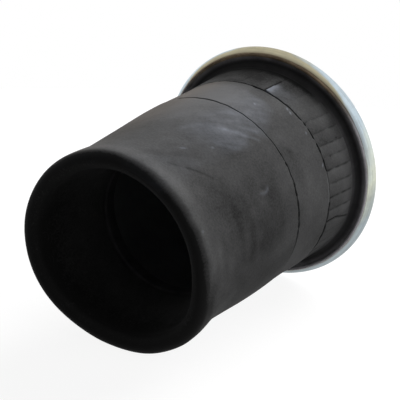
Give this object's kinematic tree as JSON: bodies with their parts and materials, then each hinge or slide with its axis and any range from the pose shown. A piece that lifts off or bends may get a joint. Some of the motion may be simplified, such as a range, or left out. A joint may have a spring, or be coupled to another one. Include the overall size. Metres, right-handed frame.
{
  "type": "air spring bellows",
  "caption": "Reversible-sleeve air spring bellows: crimped steel bead plate with studs and air port, rubber sleeve that rolls back into itself, and a lower bead for a piston.",
  "frame": {"origin": "centre of the bead plate's flat mounting face, on the spring's axis", "axes": "+Y along the spring's axis, out of the mounting face, the way the studs point; +X along the line of the two studs; +Z towards the air port, up as the spring lies on its side in the picture. In a vehicle +Y points up"},
  "size_m": [0.23, 0.2974, 0.23],
  "materials": {
    "zinc_steel": "zinc plated, yellow-blue passivated, satin",
    "stud_steel": "zinc plated",
    "bead_wire": "bronze-coated drawn wire",
    "bead_rubber": "hard black rubber",
    "chafer_rubber": "matt black rubber over ribbed cord",
    "cover_rubber": "dusty matt black rubber",
    "cord_ply": "rubberised cord",
    "liner_rubber": "smooth black rubber"
  },
  "bodies": {
    "fixed_end": {"bead_plate": "zinc_steel", "bead_plate_rim": "zinc_steel", "mounting_studs": "stud_steel", "air_port_boss": "stud_steel", "upper_bead_core": "bead_wire", "upper_bead_filler": "bead_rubber", "flange_chafer": "chafer_rubber", "ribbed_band": "cover_rubber", "shoulder_cover_band": "cover_rubber", "body_cover": "cover_rubber", "outer_ply": "cord_ply", "inner_ply": "cord_ply", "liner": "liner_rubber"},
    "rolling_fold": {"lobe_cover": "cover_rubber", "lobe_outer_ply": "cord_ply", "lobe_inner_ply": "cord_ply", "lobe_liner": "liner_rubber"},
    "turned_in_wall": {"turned_in_cover": "cover_rubber", "turned_in_outer_ply": "cord_ply", "turned_in_inner_ply": "cord_ply", "turned_in_liner": "liner_rubber"},
    "lower_bead": {"lower_bead_core": "bead_wire", "lower_bead_filler": "bead_rubber", "lower_bead_plies": "cord_ply", "lower_bead_chafer": "chafer_rubber"}
  },
  "joints": [
    {"name": "fold_travel", "type": "slide", "parent": "fixed_end", "child": "rolling_fold", "axis": [0, 1, 0], "range_m": [-0.035, 0.055], "deforming": ["body_cover", "outer_ply", "inner_ply", "liner"]},
    {"name": "bead_travel", "type": "slide", "parent": "rolling_fold", "child": "turned_in_wall", "axis": [0, 1, 0], "range_m": [-0.035, 0.055], "deforming": ["turned_in_cover", "turned_in_outer_ply", "turned_in_inner_ply", "turned_in_liner"]},
    {"name": "bead_tilt", "type": "hinge", "parent": "turned_in_wall", "child": "lower_bead", "pos_m": [0, -0.178, 0], "axis": [1, 0, 0], "range_deg": [-8, 8]}
  ],
  "couplings": [
    {"joint": "bead_travel", "follows": "fold_travel", "ratio": 1}
  ]
}
